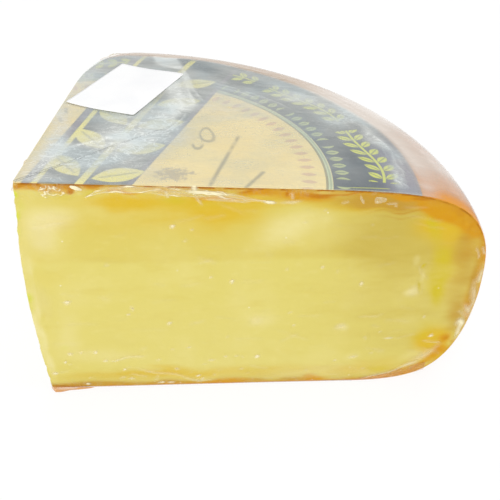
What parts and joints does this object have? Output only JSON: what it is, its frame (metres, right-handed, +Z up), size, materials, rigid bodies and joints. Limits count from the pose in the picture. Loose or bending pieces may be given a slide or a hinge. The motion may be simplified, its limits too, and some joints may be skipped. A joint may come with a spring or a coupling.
{
  "type": "film-wrapped cheese wedge",
  "caption": "Wedge of a waxed semi-hard cheese wheel, wrapped in clear film, with a printed paper label and a blank price sticker on top.",
  "frame": {"origin": "centre of the base of the whole wedge, on the surface it stands on", "axes": "+Z up, +X along the front cut from the point of the wedge to the rim, +Y away from the front cut"},
  "size_m": [0.217, 0.1892, 0.1238],
  "materials": {
    "cheese": "semi-hard yellow cheese with an orange wax rind, under clear glossy film",
    "label_paper": "printed paper in slate blue, beige and yellow, hazed by the film over it",
    "sticker_paper": "blank white thermal paper, smooth",
    "film": "thin clear cling film, glossy, wrinkled and milky where it is gathered"
  },
  "bodies": {
    "root": {"cheese_wedge": "cheese", "top_label": "label_paper", "price_sticker": "sticker_paper"}
  },
  "joints": []
}
